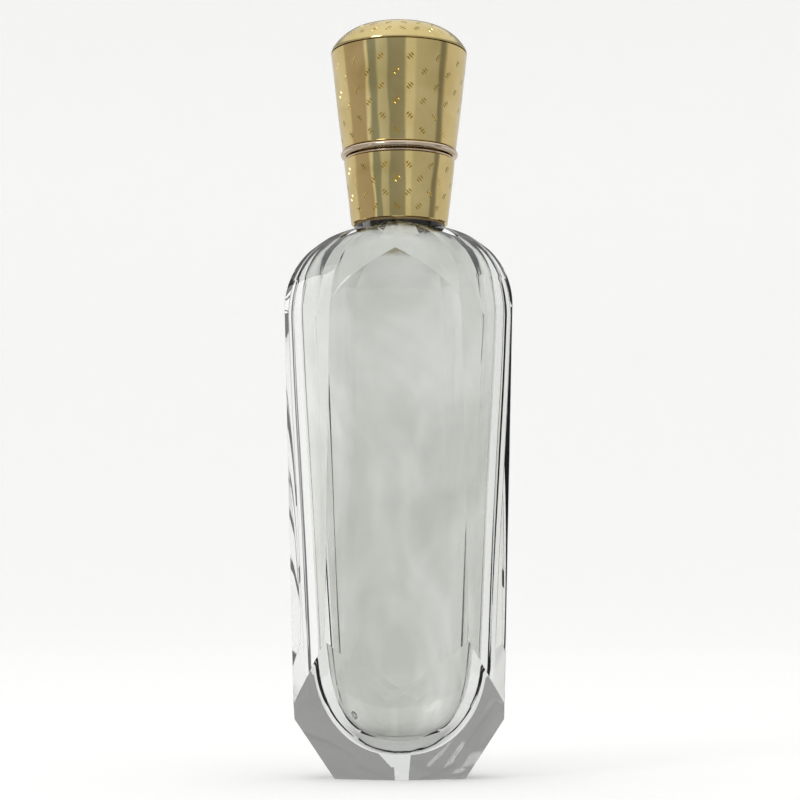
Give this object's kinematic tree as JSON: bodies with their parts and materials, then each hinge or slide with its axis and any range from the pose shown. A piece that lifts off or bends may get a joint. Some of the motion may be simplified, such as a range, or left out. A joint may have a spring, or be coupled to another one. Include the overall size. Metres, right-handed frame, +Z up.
{
  "type": "perfume bottle",
  "caption": "Slender cut-crystal scent bottle with an engraved gold collar, a flaring gold lid hinged at the back, and a ground glass stopper inside.",
  "frame": {"origin": "middle of the base, on the surface the bottle stands on", "axes": "+Z up along the bottle, front panel towards -Y, hinge at the back towards +Y, +X to the right seen from the front"},
  "size_m": [0.0328, 0.0228, 0.1091],
  "materials": {
    "crystal": "polished cut lead crystal, clear, faintly green-grey",
    "gold": "polished yellow 14-carat gold sheet with small bright-cut lozenge motifs",
    "rose_gold": "polished reddish gold wire and hinge tube",
    "plaster": "aged yellow-brown setting cement, matt"
  },
  "bodies": {
    "bottle": {"bottle_body": "crystal", "neck_cement": "plaster", "collar_sleeve": "gold", "collar_top_ring": "rose_gold", "bezel_tube": "gold", "collar_hinge_bearer": "gold", "collar_knuckle_left": "rose_gold", "collar_knuckle_middle": "rose_gold", "collar_knuckle_right": "rose_gold", "hinge_pin": "rose_gold"},
    "lid": {"lid_wall": "gold", "lid_dome": "gold", "lid_rim_wire": "rose_gold", "lid_liner": "gold", "lid_hinge_bearer": "gold", "lid_knuckle_left": "rose_gold", "lid_knuckle_right": "rose_gold"},
    "stopper": {"stopper": "crystal"}
  },
  "joints": [
    {"name": "lid_hinge", "type": "hinge", "parent": "bottle", "child": "lid", "pos_m": [0, 0.0095, 0.0892], "axis": [-1, 0, 0], "range_deg": [0, 105]},
    {"name": "stopper_lift", "type": "slide", "parent": "bottle", "child": "stopper", "axis": [0, 0, 1], "range_m": [0, 0.009]}
  ]
}
